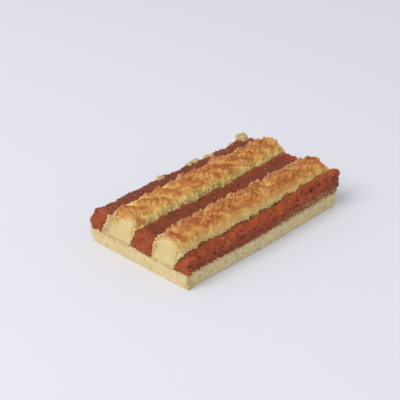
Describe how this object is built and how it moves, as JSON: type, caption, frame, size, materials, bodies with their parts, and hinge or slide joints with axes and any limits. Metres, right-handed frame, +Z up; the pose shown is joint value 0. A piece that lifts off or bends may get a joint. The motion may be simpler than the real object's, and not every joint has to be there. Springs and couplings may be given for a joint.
{
  "type": "jam striped slab cake",
  "caption": "Flat oblong slab cake: a pale baked base topped along its length with alternating red jam strips and browned craggy piped bars, cut clean at the ends.",
  "frame": {"origin": "centre of the bounding box at the underside of the base", "axes": "+X along the stripes to the right cut end, +Y across the stripes to the far long side, +Z up"},
  "size_m": [0.1656, 0.0986, 0.036],
  "materials": {
    "crumb": "pale yellow baked crumb, matt and porous",
    "jam": "set red jam, moist satin sheen",
    "crust": "golden brown craggy crust over pale yellow paste"
  },
  "bodies": {
    "root": {"base": "crumb", "jam_near": "jam", "bar_near": "crust", "jam_middle": "jam", "bar_far": "crust", "jam_far": "jam"}
  },
  "joints": []
}
